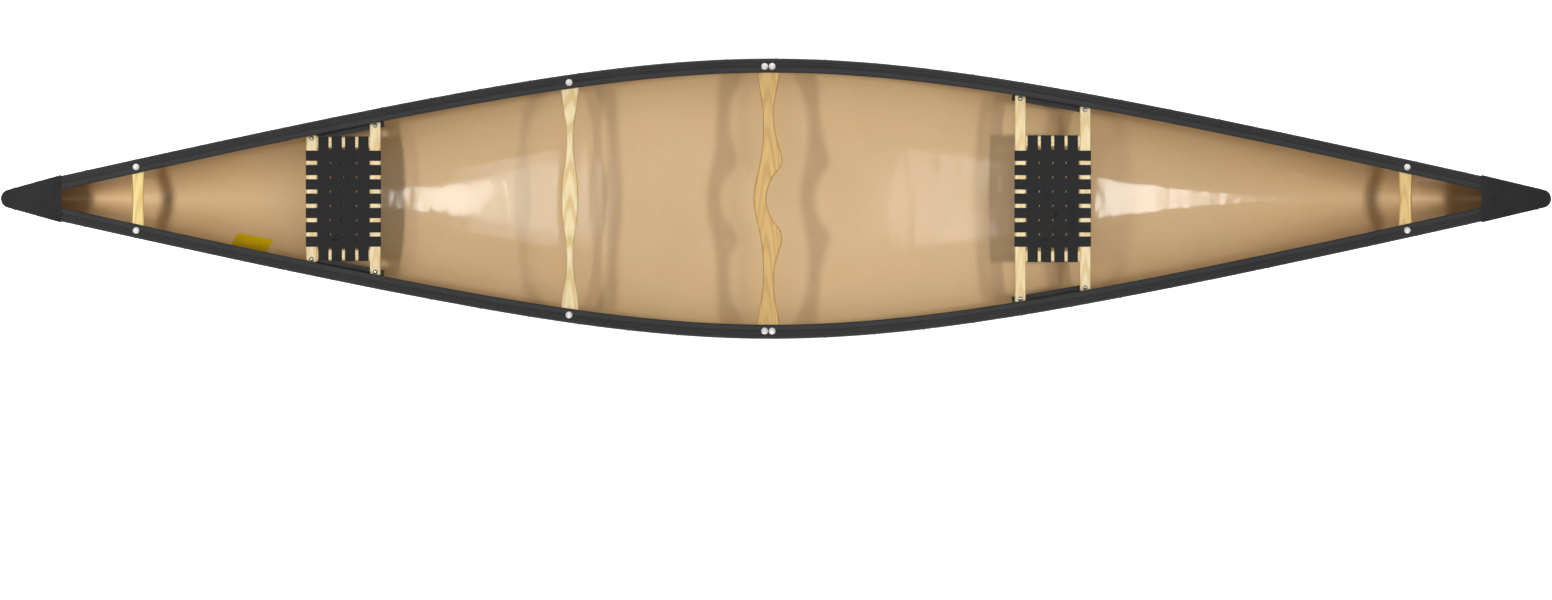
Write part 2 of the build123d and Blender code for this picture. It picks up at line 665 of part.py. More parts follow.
def deck_cap(tip, length):
    """Moulded cap over one end: a top that follows the sheer, sides and a raked nose."""
    sign = math.copysign(1, tip)
    inboard = tip - sign * length
    stations = [inboard + (tip + sign * 6 - inboard) * i / 12 for i in range(13)]
    back = math.tan(math.radians(CAP_RAKE))

    def body(grow, rise, skirt, open_end):
        """Solid block of the cap's outline, grown all round and run on at its open end."""
        start = inboard - sign * open_end
        top = [(x, sheer(x) + rise) for x in [start, *stations[1:]]]
        low = [(x, z - skirt) for x, z in reversed(top)]
        face = make_face(Wire(cap_outline(tip, start, grow)))
        solid = Pos(0, 0, sheer(0)) * extrude(face, sheer(0)) & side_prism(top + low)
        # The wedge in front of the leaning nose.
        nose_x, nose_z = tip + sign * grow, sheer(tip) + rise
        above, below = nose_z + 100, nose_z - 150
        wedge = [
            (nose_x + sign * (above - nose_z) * back, above),
            (nose_x + sign * (below - nose_z) * back, below),
            (nose_x + sign * 200, below), (nose_x + sign * 200, above),
        ]
        return solid - side_prism(wedge)

    return body(0, CAP_RISE, CAP_SKIRT, 0) - body(-CAP_WALL, CAP_RISE - CAP_WALL, 2 * CAP_SKIRT, 20)


half_length = LENGTH / 2
bow_cap = deck_cap(half_length, BOW_CAP_LENGTH)
stern_cap = deck_cap(-half_length, STERN_CAP_LENGTH)


def pan_screw():
    """Small screw with a low head standing on z = 0 and its shank below."""
    head = Pos(0, 0, CAP_SCREW_HEAD[2] / 2) * Cone(*CAP_SCREW_HEAD)
    shank = Cylinder(CAP_SCREW_SHANK / 2, CAP_SCREW_LENGTH)
    return head + Pos(0, 0, -CAP_SCREW_LENGTH / 2) * shank


def cap_screw_places(tip, length):
    """Locations of the screws near the nose, on both sides, with +Z out of the cap."""
    sign = math.copysign(1, tip)
    inboard = tip - sign * length
    side = cap_outline(tip, inboard, 0)[2]
    start, stop = side @ 0, side @ 1
    x = tip - sign * CAP_SCREW_INSET
    y = start.Y + (stop.Y - start.Y) * (x - start.X) / (stop.X - start.X)
    run = (stop - start).normalized()
    out = Vector(-run.Y, run.X, 0) if run.X > 0 else Vector(run.Y, -run.X, 0)
    z = sheer(x) - CAP_SCREW_DROP
    return [
        Plane(origin=(x, y * way, z), z_dir=(out.X, abs(out.Y) * way, 0)).location
        for way in (1, -1)
    ]


cap_places = cap_screw_places(half_length, BOW_CAP_LENGTH)
cap_places += cap_screw_places(-half_length, STERN_CAP_LENGTH)
cap_screws = [place * Pos(0, 0, CONTACT_GAP) * pan_screw() for place in cap_places]
cap_drills = [place * Cylinder(CAP_SCREW_SHANK / 2 + 0.2, 56) for place in cap_places]


# ---------------------------------------------------------------- drill and write
port_board_drills = [drill for drill in board_drills if drill.center().Y > 0]
rail -= [*port_board_drills, *rivet_drills, *seat_drills]
insert -= [*port_board_drills, *seat_drills]
hull_drills = [*both_sides(rivet_drills), *cap_drills]
skins = [laminate - hull_drills for laminate in skins]

os.makedirs("parts", exist_ok=True)
for name, skin_solid in zip(("hull_outer_skin", "hull_foam_core", "hull_inner_skin"), skins):
    write(name, skin_solid)
for name, solid in {"gunwale": rail, "gunwale_insert": insert, "gunwale_rivets": rivets}.items():
    solids = solid if isinstance(solid, list) else [solid]
    write(f"{name}_port", solids)
    write(f"{name}_starboard", [mirror(one, about=Plane.XZ) for one in solids])
write("bow_deck_cap", bow_cap - cap_drills)
write("stern_deck_cap", stern_cap - cap_drills)
write("deck_cap_screws", cap_screws)
for name, solid in {**boards, **seats}.items():
    write(name, solid)
write("thwart_bolts", board_bolts)
write("thwart_cup_washers", board_washers)
write("thwart_nuts", board_nuts)
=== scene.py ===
import math

import bmesh
import bpy
import numpy as np
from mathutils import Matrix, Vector
from mathutils.bvhtree import BVHTree


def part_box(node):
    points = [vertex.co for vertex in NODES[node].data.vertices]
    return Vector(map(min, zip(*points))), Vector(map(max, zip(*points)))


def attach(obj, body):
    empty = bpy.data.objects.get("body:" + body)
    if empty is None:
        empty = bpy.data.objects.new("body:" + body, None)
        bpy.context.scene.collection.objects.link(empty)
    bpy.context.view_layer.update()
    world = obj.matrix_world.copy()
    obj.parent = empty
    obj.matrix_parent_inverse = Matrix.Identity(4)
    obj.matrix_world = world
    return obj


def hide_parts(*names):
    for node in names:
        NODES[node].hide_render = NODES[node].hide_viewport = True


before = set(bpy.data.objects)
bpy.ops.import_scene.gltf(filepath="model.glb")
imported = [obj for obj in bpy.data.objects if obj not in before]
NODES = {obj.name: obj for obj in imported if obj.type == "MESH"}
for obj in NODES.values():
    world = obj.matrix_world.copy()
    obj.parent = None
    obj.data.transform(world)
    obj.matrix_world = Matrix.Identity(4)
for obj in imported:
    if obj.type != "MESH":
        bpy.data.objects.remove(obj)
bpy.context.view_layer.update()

# ---------------------------------------------------------------- lines of the boat
HALF_BEAM = 0.440
PLAN_CENTRE = -0.015
PLAN_TAPER = 0.24
PLAN_ROUND = 0.860
SHEER = [
    (-2.440, 0.526), (-2.251, 0.506), (-2.006, 0.474), (-1.748, 0.442), (-1.496, 0.414),
    (-1.182, 0.388), (-0.868, 0.3745), (-0.500, 0.3685), (-0.100, 0.3673), (0.300, 0.370),
    (0.704, 0.383), (1.019, 0.405), (1.333, 0.434), (1.647, 0.475), (1.978, 0.525),
    (2.213, 0.562), (2.440, 0.594),
]
LAMINATE = 0.0060
RAIL_WIDTH = 0.044
RAIL_FLANGE = 0.028
RAIL_WALL = 0.0045
RAIL_BOX = 0.012
RAIL_WEB = 0.003
RAIL_END = 2.325
FIT_GAP = 0.0003


class CubicSpline:
    """Natural cubic spline through values at rising parameters."""

    def __init__(self, at, values):
        self.at = np.asarray(at, float)
        self.values = np.asarray(values, float)
        step = np.diff(self.at)
        count = len(self.at)
        system = np.eye(count)
        right = np.zeros_like(self.values)
        for i in range(1, count - 1):
            system[i, i - 1:i + 2] = step[i - 1], 2 * (step[i - 1] + step[i]), step[i]
            rise = (self.values[i + 1] - self.values[i]) / step[i]
            right[i] = 6 * (rise - (self.values[i] - self.values[i - 1]) / step[i - 1])
        self.bend = np.linalg.solve(system, right)

    def __call__(self, t):
        i = int(np.clip(np.searchsorted(self.at, t) - 1, 0, len(self.at) - 2))
        h = self.at[i + 1] - self.at[i]
        a, b = (self.at[i + 1] - t) / h, (t - self.at[i]) / h
        curve = (a**3 - a) * self.bend[i] + (b**3 - b) * self.bend[i + 1]
        return float(a * self.values[i] + b * self.values[i + 1] + curve * h * h / 6)


def half_beam(x):
    """Half breadth over the outside of the gunwales at station x."""
    return HALF_BEAM - PLAN_TAPER * (math.hypot(x - PLAN_CENTRE, PLAN_ROUND) - PLAN_ROUND)


def rail_point(x, inset, z):
    """Point at a distance inboard of the port rail's outside, square to the rail."""
    slope = (half_beam(x + 0.001) - half_beam(x - 0.001)) / 0.002
    size = math.hypot(slope, 1)
    return x + slope / size * inset, half_beam(x) - inset / size, z


def surface_of(node):
    """Search tree over a CAD node's mesh."""
    mesh = NODES[node].data
    return BVHTree.FromPolygons([v.co for v in mesh.vertices], [p.vertices for p in mesh.polygons])


sheer = CubicSpline([x for x, z in SHEER], [z for x, z in SHEER])
outer_skin = surface_of("hull_outer_skin")
inner_skin = surface_of("hull_inner_skin")


def hull_lean(x):
    """How far the hull has moved inboard at the foot of the rail's flange."""
    hit = outer_skin.ray_cast(Vector((x, 1.0, sheer(x) - RAIL_FLANGE)), Vector((0, -1, 0)))[0]
    return half_beam(x) - RAIL_WALL - FIT_GAP - hit.y


lean_stations = np.linspace(-RAIL_END, RAIL_END, 31)
lean = CubicSpline(lean_stations, [hull_lean(x) for x in lean_stations])


# ---------------------------------------------------------------- mesh helpers
def smooth_mesh(name, vertices, faces, sharp_degrees=40.0):
    """New object on the root body, with smooth shading except at sharp edges."""
    mesh = bpy.data.meshes.new(name)
    mesh.from_pydata([tuple(map(float, p)) for p in vertices], [], faces)
    work = bmesh.new()
    work.from_mesh(mesh)
    bmesh.ops.remove_doubles(work, verts=work.verts, dist=1e-6)
    bmesh.ops.recalc_face_normals(work, faces=work.faces)
    limit = math.radians(sharp_degrees)
    for face in work.faces:
        face.smooth = True
    for edge in work.edges:
        edge.smooth = not (len(edge.link_faces) == 2 and edge.calc_face_angle(0) > limit)
    work.to_mesh(mesh)
    work.free()
    piece = bpy.data.objects.new(name, mesh)
    bpy.context.scene.collection.objects.link(piece)
    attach(piece, "root")
    return piece


def grid_faces(rows, columns, start=0, wrap=False):
    """Quads of a grid of points stored row by row; wrap joins the last column to the first."""
    last = columns if wrap else columns - 1
    faces = []
    for i in range(rows - 1):
        for j in range(last):
            a, b = start + i * columns + j, start + i * columns + (j + 1) % columns
            faces.append((a, b, b + columns, a + columns))
    return faces


def sweep_rings(name, rings, sharp_degrees=40.0):
    """Closed tube through rings of points, capped at both ends."""
    rings = np.asarray(rings)
    count, size = rings.shape[:2]
    faces = grid_faces(count, size, wrap=True)
    faces.append(tuple(range(size)))
    faces.append(tuple(range((count - 1) * size, count * size)))
    return smooth_mesh(name, rings.reshape(-1, 3), faces, sharp_degrees)


def shell(name, outer, inner, sharp_degrees=40.0):
    """Closed sheet between two grids of points of the same shape."""
    rows, columns = outer.shape[:2]
    size = rows * columns
    faces = grid_faces(rows, columns) + grid_faces(rows, columns, size)
    border = [i * columns for i in range(rows)]
    border += [(rows - 1) * columns + j for j in range(1, columns)]
    border += [i * columns + columns - 1 for i in range(rows - 2, -1, -1)]
    border += list(range(columns - 2, 0, -1))
    for a, b in zip(border, border[1:] + border[:1]):
        faces.append((a, b, b + size, a + size))
    points = np.concatenate([outer.reshape(-1, 3), inner.reshape(-1, 3)])
    return smooth_mesh(name, points, faces, sharp_degrees)


def rounded(corners, radius, steps=4):
    """Closed 2-D outline with each corner rounded; radius is one number or one per corner."""
    corners = [Vector(c) for c in corners]
    radii = radius if isinstance(radius, (list, tuple)) else [radius] * len(corners)
    points = []
    for i, corner in enumerate(corners):
        before, after = corners[i - 1], corners[(i + 1) % len(corners)]
        r = radii[i]
        if r <= 0:
            points.append(corner[:])
            continue
        to_before, to_after = (before - corner).normalized(), (after - corner).normalized()
        half = max(to_before.angle(to_after) / 2, 0.05)
        cut = min(r / math.tan(half), 0.45 * (before - corner).length, 0.45 * (after - corner).length)
        start, end = corner + to_before * cut, corner + to_after * cut
        for k in range(steps + 1):
            t = k / steps
            points.append(((1 - t) ** 2 * start + 2 * t * (1 - t) * corner + t * t * end)[:])
    return points


def smoothstep(low, high, value):
    t = min(max((value - low) / (high - low), 0.0), 1.0)
    return t * t * (3 - 2 * t)


# ---------------------------------------------------------------- materials
class Look:
    """A material with a Principled shader, and short ways to add nodes to it."""

    def __init__(self, name, **constants):
        self.material = bpy.data.materials.new(name)
        self.material.use_nodes = True
        self.tree = self.material.node_tree
        self.shader = self.tree.nodes["Principled BSDF"]
        for key, value in constants.items():
            self.shader.inputs[key.replace("_", " ")].default_value = value
        self.place = self.add("ShaderNodeTexCoord").outputs["Object"]
        self.bumps = None

    def add(self, kind, inputs=(), **settings):
        node = self.tree.nodes.new(kind)
        for key, value in settings.items():
            setattr(node, key, value)
        for key, value in dict(inputs).items():
            if isinstance(value, bpy.types.NodeSocket):
                self.tree.links.new(value, node.inputs[key])
            else:
                node.inputs[key].default_value = value
        return node

    def stretched(self, scale, turn=(0, 0, 0)):
        """Object coordinates scaled on each axis."""
        inputs = {"Vector": self.place, "Scale": scale, "Rotation": turn}
        return self.add("ShaderNodeMapping", inputs).outputs[0]

    def noise(self, scale, detail=4.0, rough=0.55, where=None, distort=0.0):
        inputs = {"Vector": where or self.place, "Scale": scale, "Detail": detail}
        inputs.update({"Roughness": rough, "Distortion": distort})
        return self.add("ShaderNodeTexNoise", inputs).outputs["Fac"]

    def ramp(self, value, stops):
        """Colour ramp through (position, colour or grey) stops."""
        node = self.add("ShaderNodeValToRGB", {"Fac": value})
        ramp = node.color_ramp
        for i, (position, colour) in enumerate(stops):
            stop = ramp.elements[i] if i < 2 else ramp.elements.new(position)
            stop.position = position
            colour = (colour,) * 3 if isinstance(colour, (int, float)) else colour
            stop.color = (*colour[:3], 1)
        return node.outputs["Color"]

    def mix(self, amount, first, second, blend="MIX"):
        node = self.add("ShaderNodeMix", data_type="RGBA", blend_type=blend)
        for index, value in ((0, amount), (6, first), (7, second)):
            if isinstance(value, bpy.types.NodeSocket):
                self.tree.links.new(value, node.inputs[index])
            elif index == 0:
                node.inputs[index].default_value = value
            else:
                node.inputs[index].default_value = (*value[:3], 1)
        return node.outputs[2]

    def math(self, operation, first, second=0.0):
        return self.add("ShaderNodeMath", {0: first, 1: second}, operation=operation).outputs[0]

    def span(self, value, low, high, to_low, to_high):
        """Map a value from one range to another, clamped."""
        inputs = {"Value": value, "From Min": low, "From Max": high, "To Min": to_low, "To Max": to_high}
        return self.add("ShaderNodeMapRange", inputs).outputs[0]

    def set(self, key, socket):
        self.tree.links.new(socket, self.shader.inputs[key])

    def bump(self, height, strength, distance):
        inputs = {"Height": height, "Strength": strength, "Distance": distance}
        if self.bumps:
            inputs["Normal"] = self.bumps
        self.bumps = self.add("ShaderNodeBump", inputs).outputs[0]
        self.set("Normal", self.bumps)

    def on(self, *pieces):
        for piece in pieces:
            piece.data.materials.clear()
            piece.data.materials.append(self.material)


def hull_green():
    """Moulded vinyl: deep green, slightly uneven, with orange peel and faint scrapes low down."""
    look = Look("hull_green", Specular_IOR_Level=0.06)
    patch = look.noise(1.6, 5)
    colour = look.ramp(patch, [(0.3, (0.0006, 0.048, 0.036)), (0.7, (0.0008, 0.058, 0.043))])
    fine = look.noise(46, 6)
    colour = look.mix(look.span(fine, 0.45, 0.75, 0.0, 0.22), colour, (0.0012, 0.070, 0.054))
    scrape = look.noise(1.0, 3, 0.7, look.stretched((3.2, 260, 260)))
    height = look.add("ShaderNodeSeparateXYZ", {0: look.place}).outputs[2]
    low = look.span(height, 0.005, 0.075, 1.0, 0.0)
    scraped = look.math("MULTIPLY", look.span(scrape, 0.64, 0.72, 0.0, 0.45), low)
    look.set("Base Color", look.mix(scraped, colour, (0.06, 0.14, 0.12)))
    look.set("Roughness", look.span(look.noise(9, 5), 0.3, 0.7, 0.30, 0.38))
    look.bump(look.noise(210, 3), 0.10, 0.0008)
    look.bump(look.noise(3.0, 2), 0.05, 0.004)
    return look


def hull_tan():
    """Inside skin: tan vinyl with a soft gloss, a pebbled grain and light wear."""
    look = Look("hull_tan", Coat_Weight=0.80, Coat_Roughness=0.07, Specular_IOR_Level=0.10)
    patch = look.noise(2.3, 5)
    colour = look.ramp(patch, [(0.3, (0.610, 0.424, 0.220)), (0.7, (0.675, 0.477, 0.258))])
    fleck = look.noise(130, 5)
    colour = look.mix(look.span(fleck, 0.5, 0.8, 0.0, 0.30), colour, (0.52, 0.355, 0.175))
    scuff = look.noise(1.0, 4, 0.7, look.stretched((9, 60, 60)))
    colour = look.mix(look.span(scuff, 0.66, 0.78, 0.0, 0.25), colour, (0.76, 0.60, 0.40))
    look.set("Base Color", colour)
    look.set("Roughness", look.span(look.noise(14, 5), 0.3, 0.7, 0.27, 0.38))
    look.bump(look.noise(320, 4), 0.018, 0.0006)
    look.bump(look.noise(60, 4), 0.040, 0.0012)
    return look


def vinyl(name, dark, light, roughness, streak=(4, 500, 500)):
    """Extruded vinyl with fine lengthwise streaks."""
    look = Look(name, Specular_IOR_Level=0.20)
    lines = look.noise(1.0, 4, 0.6, look.stretched(streak))
    colour = look.ramp(lines, [(0.3, dark), (0.7, light)])
    haze = look.noise(7, 4)
    faded = [1.35 * c for c in light]
    look.set("Base Color", look.mix(look.span(haze, 0.4, 0.8, 0.0, 0.30), colour, faded))
    look.set("Roughness", look.span(lines, 0.3, 0.7, roughness - 0.06, roughness + 0.08))
    look.bump(lines, 0.10, 0.0004)
    look.bump(look.noise(700, 3), 0.06, 0.0003)
    return look


def moulded(name, dark, light, roughness):
    """Moulded plastic with a pebbled grain."""
    look = Look(name, Specular_IOR_Level=0.16)
    cells = {"Vector": look.place, "Scale": 620.0}
    grain = look.add("ShaderNodeTexVoronoi", cells, feature="SMOOTH_F1").outputs["Distance"]
    haze = look.noise(11, 4)
    look.set("Base Color", look.ramp(haze, [(0.3, dark), (0.75, light)]))
    look.set("Roughness", look.span(look.noise(40, 4), 0.3, 0.7, roughness - 0.06, roughness + 0.07))
    look.bump(grain, 0.22, 0.0004)
    return look


def ash(name, light, dark, along, centre, seed):
    """Varnished flat-sawn ash round a centre, with its grain along an axis."""
    look = Look(name, Coat_Weight=0.20, Coat_Roughness=0.22, Roughness=0.45)
    tilt = (math.radians(3.5), 0, 0) if along == "y" else (0, math.radians(3.5), 0)
    pith = (centre[0] + 0.004 * math.sin(seed), centre[1] + 0.1 * math.cos(seed), centre[2] - 0.035)
    local = look.add("ShaderNodeVectorMath", {0: look.place, 1: pith}, operation="SUBTRACT").outputs[0]
    turned = look.add("ShaderNodeMapping", {"Vector": local, "Rotation": tilt}).outputs[0]
    long_axis = "xy".index(along)
    stretch = [1.0, 1.0, 1.0]
    stretch[long_axis] = 0.10
    where = look.add("ShaderNodeMapping", {"Vector": turned, "Scale": stretch}).outputs[0]
    wave = {"Vector": where, "Scale": 44.0, "Distortion": 3.0, "Detail": 2.0, "Detail Scale": 0.9}
    wave["Phase Offset"] = seed
    rings = look.add("ShaderNodeTexWave", wave, wave_type="RINGS", rings_direction=along.upper())
    rings = rings.outputs["Fac"]
    fibre = [700.0, 700.0, 700.0]
    fibre[long_axis] = 14.0
    pores = look.noise(1.0, 3, 0.6, look.stretched(fibre))
    broad = [26.0, 26.0, 26.0]
    broad[long_axis] = 3.0
    tone = look.noise(1.0, 3, 0.5, look.stretched(broad))
    colour = look.ramp(rings, [(0.0, light), (0.55, [0.93 * c for c in light]), (0.93, dark)])
    colour = look.mix(look.span(pores, 0.50, 0.72, 0.0, 0.45), colour, [0.66 * c for c in dark])
    colour = look.mix(look.span(tone, 0.42, 0.72, 0.0, 0.55), colour, [1.05 * c for c in dark])
    look.set("Base Color", colour)
    look.set("Roughness", look.span(pores, 0.3, 0.7, 0.38, 0.56))
    look.bump(pores, 0.10, 0.0003)
    look.bump(rings, 0.05, 0.0004)
    return look


def nylon():
    """Black woven strap: a fine twill in both directions and a dusty sheen."""
    look = Look("nylon_webbing", Specular_IOR_Level=0.25, Sheen_Weight=0.22, Sheen_Roughness=0.5)
    twill = []
    for turn in (0.65, -0.65):
        where = look.stretched((1, 1, 1), (0, 0, turn))
        ribs = {"Vector": where, "Scale": 175.0, "Distortion": 0.4}
        wave = look.add("ShaderNodeTexWave", ribs, bands_direction="X")
        twill.append(wave.outputs["Fac"])
    weave = look.math("MULTIPLY", twill[0], twill[1])
    thread = look.noise(1300, 3)
    colour = look.ramp(weave, [(0.1, (0.010, 0.010, 0.011)), (0.8, (0.026, 0.026, 0.0265))])
    look.set("Base Color", look.mix(look.span(thread, 0.45, 0.8, 0.0, 0.35), colour, (0.048, 0.048, 0.049)))
    look.set("Roughness", look.span(thread, 0.3, 0.7, 0.62, 0.82))
    look.bump(weave, 0.55, 0.0006)
    look.bump(thread, 0.15, 0.0003)
    return look


def metal(name, colour, roughness, streak=(300, 300, 300), metallic=1.0):
    """Bare or coated metal with fine machining marks."""
    look = Look(name, Metallic=metallic)
    marks = look.noise(1.0, 4, 0.6, look.stretched(streak))
    look.set("Base Color", look.ramp(marks, [(0.25, [0.82 * c for c in colour]), (0.75, colour)]))
    look.set("Roughness", look.span(marks, 0.3, 0.7, roughness - 0.07, roughness + 0.1))
    look.bump(marks, 0.06, 0.0002)
    return look


def foam():
    """Closed-cell foam core."""
    look = Look("foam_core", Roughness=0.85)
    cells = look.add("ShaderNodeTexVoronoi", {"Vector": look.place, "Scale": 900.0}).outputs["Distance"]
    look.set("Base Color", look.ramp(cells, [(0.0, (0.50, 0.47, 0.38)), (0.6, (0.74, 0.71, 0.60))]))
    look.bump(cells, 0.5, 0.0006)
    return look


GREEN, TAN, FOAM = hull_green(), hull_tan(), foam()
RAIL = vinyl("rail_vinyl", (0.0200, 0.0206, 0.0214), (0.0330, 0.0338, 0.0350), 0.50)
CAP = moulded("cap_plastic", (0.0140, 0.0138, 0.0144), (0.0210, 0.0207, 0.0215), 0.58)
BRACKET = moulded("hanger_plastic", (0.016, 0.016, 0.017), (0.030, 0.030, 0.031), 0.48)
WEBBING = nylon()
STEEL = metal("stainless_steel", (0.66, 0.66, 0.64), 0.26)
SATIN = metal("satin_steel", (0.86, 0.83, 0.78), 0.42, (500, 500, 500), 0.45)
RIVET = metal("coated_rivet", (0.13, 0.13, 0.135), 0.42)
BAR_METAL = metal("aluminium_bar", (0.72, 0.72, 0.73), 0.34, (6, 700, 700))
# ---------------------------------------------------------------- gunwales
GROOVES = (0.0110, 0.0190, 0.0250)  # lengthwise grooves in the top, in from the outside
GROOVE_DEPTH = 0.0015
GROOVE_HALF = 0.0015
CROWN = 0.0008  # how much lower the edges of the top are than its middle


def rail_section(foot):
    """Outline of the rail as (inset, drop): crowned, grooved top, flange, web and inboard box."""
    step = foot * (RAIL_BOX - RAIL_WALL) / (RAIL_FLANGE - RAIL_WALL)
    inside = RAIL_WALL + LAMINATE + 2 * FIT_GAP
    top = [(0.0, 0.0)]
    for groove in GROOVES:
        top += [(groove - GROOVE_HALF, 0.0), (groove, GROOVE_DEPTH), (groove + GROOVE_HALF, 0.0)]
    top += [(0.034, 0.0), (RAIL_WIDTH, 0.0)]
    radii = [0.0042] + [0.0007, 0.0005, 0.0007] * len(GROOVES) + [0.004, 0.0070]
    corners = [(a, b + CROWN * ((a - 0.022) / 0.022) ** 2) for a, b in top]
    corners += [
        (RAIL_WIDTH, RAIL_BOX), (inside + RAIL_WEB + step, RAIL_BOX),
        (inside + RAIL_WEB + foot, RAIL_FLANGE), (inside + foot, RAIL_FLANGE),
        (inside, RAIL_WALL), (RAIL_WALL, RAIL_WALL), (RAIL_WALL + foot, RAIL_FLANGE),
        (foot, RAIL_FLANGE),
    ]
    radii += [0.0026, 0.0015, 0.0012, 0.0008, 0.0008, 0.0008, 0.0010, 0.0018]
    return rounded(corners, radii, 3)


def gunwale(side):
    """Port (1) or starboard (-1) rail."""
    rings = []
    for x in np.linspace(-RAIL_END, RAIL_END, 241):
        ring = [rail_point(x, a, sheer(x) - b) for a, b in rail_section(lean(x))]
        rings.append([(p[0], p[1] * side, p[2]) for p in ring])
    name = "port" if side > 0 else "starboard"
    piece = sweep_rings(f"rail_{name}", rings, 50)
    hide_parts(f"gunwale_{name}")
    RAIL.on(piece)


gunwale(1)
gunwale(-1)


# ---------------------------------------------------------------- deck caps
LENGTH = 4.877
CAP_WALL = 0.003
CAP_SKIRT = 0.038
CAP_NOSE = 0.029
CAP_RAKE = math.tan(math.radians(14.5))
CAP_EDGE = 0.0055  # rounding between the top and the sides
CAP_RISE = CAP_WALL + FIT_GAP + 0.0002
BUTTON_X = 2.267  # middle of the low round button in the bow cap's top
BUTTON_RADIUS = 0.010
BUTTON_HEIGHT = 0.0012


def cap_half(tip, length):
    """Half outline of a cap from its inboard edge to the tip, as (x, y, outward x, outward y)."""
    sign = math.copysign(1, tip)
    inboard = tip - sign * length
    centre = abs(tip) - CAP_NOSE
    wide = half_beam(inboard) + CAP_WALL + FIT_GAP
    run = centre - abs(inboard)
    turn = math.acos(CAP_NOSE / math.hypot(run, wide)) + math.atan2(wide, run)
    touch = np.array([centre - CAP_NOSE * math.cos(turn), CAP_NOSE * math.sin(turn)])
    start = np.array([abs(inboard), wide])
    normal = np.array([-math.cos(turn), math.sin(turn)])
    rows = [(*(start + (touch - start) * t), *normal) for t in np.linspace(0, 1, 89)]
    for angle in np.linspace(math.pi - turn, 0, 15)[1:]:
        out = (math.cos(angle), math.sin(angle))
        rows.append((centre + CAP_NOSE * out[0], CAP_NOSE * out[1], *out))
    return [(sign * x, y, sign * nx, ny) for x, y, nx, ny in rows]


def cap_surface(tip, length, inset):
    """Grid over a cap: one row per outline point, from the port skirt over the top to starboard."""
    sign = math.copysign(1, tip)
    edge = CAP_EDGE - inset * 0.5
    profile = [(0.0, CAP_SKIRT), (0.0, CAP_SKIRT * 0.66), (0.0, CAP_SKIRT * 0.4), (0.0, edge + 0.002)]
    quarter = np.linspace(0, math.pi / 2, 7)
    profile += [(edge * (1 - math.cos(a)), edge * (1 - math.sin(a))) for a in quarter]
    inboard = abs(tip) - length
    rows = []
    for x, y, nx, ny in cap_half(tip, length):
        forward = (abs(x) - inboard) / length
        half = []
        for offset, drop in profile:
            o = offset + inset
            px, py = x - nx * o, max(y - ny * o, 0.0)
            # The nose leans: it moves back as it goes down.
            back = CAP_RAKE * drop * max(0.0, (forward - 0.7) / 0.3) ** 2
            px -= sign * back
            top = sheer(px) + CAP_RISE - inset
            half.append((px, py, top - max(drop - (inset if drop >= CAP_SKIRT else 0), 0)))
        inner_x, inner_y, _ = half[-1]
        crown = []
        for t in np.linspace(1, -1, 41)[1:-1]:
            swell = 0.0010 * (1 - t * t) * min(1.0, inner_y / 0.03)
            reach = math.hypot(inner_x - BUTTON_X, inner_y * t) / BUTTON_RADIUS
            swell += BUTTON_HEIGHT * (1 - smoothstep(0.75, 1.1, reach))
            crown.append((inner_x, inner_y * t, sheer(inner_x) + CAP_RISE - inset + swell))
        rows.append(half + crown + [(a, -b, c) for a, b, c in reversed(half)])
    return np.array(rows)


def deck_cap(name, tip, length):
    """Cap as a thin shell, open below and at its inboard end."""
    outer, inner = cap_surface(tip, length, 0.0), cap_surface(tip, length, CAP_WALL)
    inner[0, :, 0] = outer[0, :, 0]
    rows, columns = outer.shape[:2]
    size = rows * columns
    faces = grid_faces(rows, columns) + grid_faces(rows, columns, size)
    faces += [(a, a + 1, a + 1 + size, a + size) for a in range(columns - 1)]
    for column in (0, columns - 1):
        for i in range(rows - 1):
            a, b = i * columns + column, (i + 1) * columns + column
            faces.append((a, b, b + size, a + size))
    points = [*outer.reshape(-1, 3), *inner.reshape(-1, 3)]
    piece = smooth_mesh(f"{name}_shell", points, faces, 35)
    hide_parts(name)
    CAP.on(piece)


deck_cap("bow_deck_cap", LENGTH / 2, 0.220)
deck_cap("stern_deck_cap", -LENGTH / 2, 0.190)


# ---------------------------------------------------------------- seat webbing
SEATS = {  # middle, length over the crossbars, width over the side rails, and the pinch:
    # how far the two middle crosswise straps are drawn together inside the frame
    "stern_seat": (-1.360, 0.234, 0.389, 0.0014),
    "bow_seat": (0.870, 0.238, 0.396, 0.0),
}
BAR = 0.034
BAR_THICK = 0.019
STRAP = 0.0380
STRAP_ON_BAR = 0.0325
STRAP_THICK = 0.0013
STRAP_RETURN = 0.024
PITCH_ALONG, COUNT_ALONG = 0.045, 7
PITCH_ACROSS, COUNT_ACROSS = 0.042, 4
WEAVE = 0.00085
SAG = 0.0030


def strap_path(half, opening, base, top, lift, crossings):
    """Middle line of a strap as (run, height) points: turned in below, up, over and back."""
    gap = STRAP_THICK / 2 + 0.0002
    corner = 0.0032
    out = half + gap
    side = rounded(
        [
            (out - STRAP_RETURN, base - gap), (out, base - gap),
            (out, top + gap + lift), (opening, top + gap + lift),
        ],
        [0, corner, corner, 0], 5,
    )
    stations = sorted(crossings)
    field = []
    for run in np.linspace(-opening, opening, 97)[1:-1]:
        after = next((k for k, c in enumerate(stations) if c > run), len(stations))
        ends = [(-opening, 0.0), *((c, crossings[c]) for c in stations), (opening, 0.0)]
        (a, low), (b, high) = ends[after], ends[after + 1]
        wave = low + (high - low) * smoothstep(a, b, run)
        field.append((run, top + gap + lift * smoothstep(0.7 * opening, opening, abs(run)) + wave))
    path = side + [(-run, z) for run, z in reversed(field)]
    path += [(-run, z) for run, z in reversed(side)]
    return path


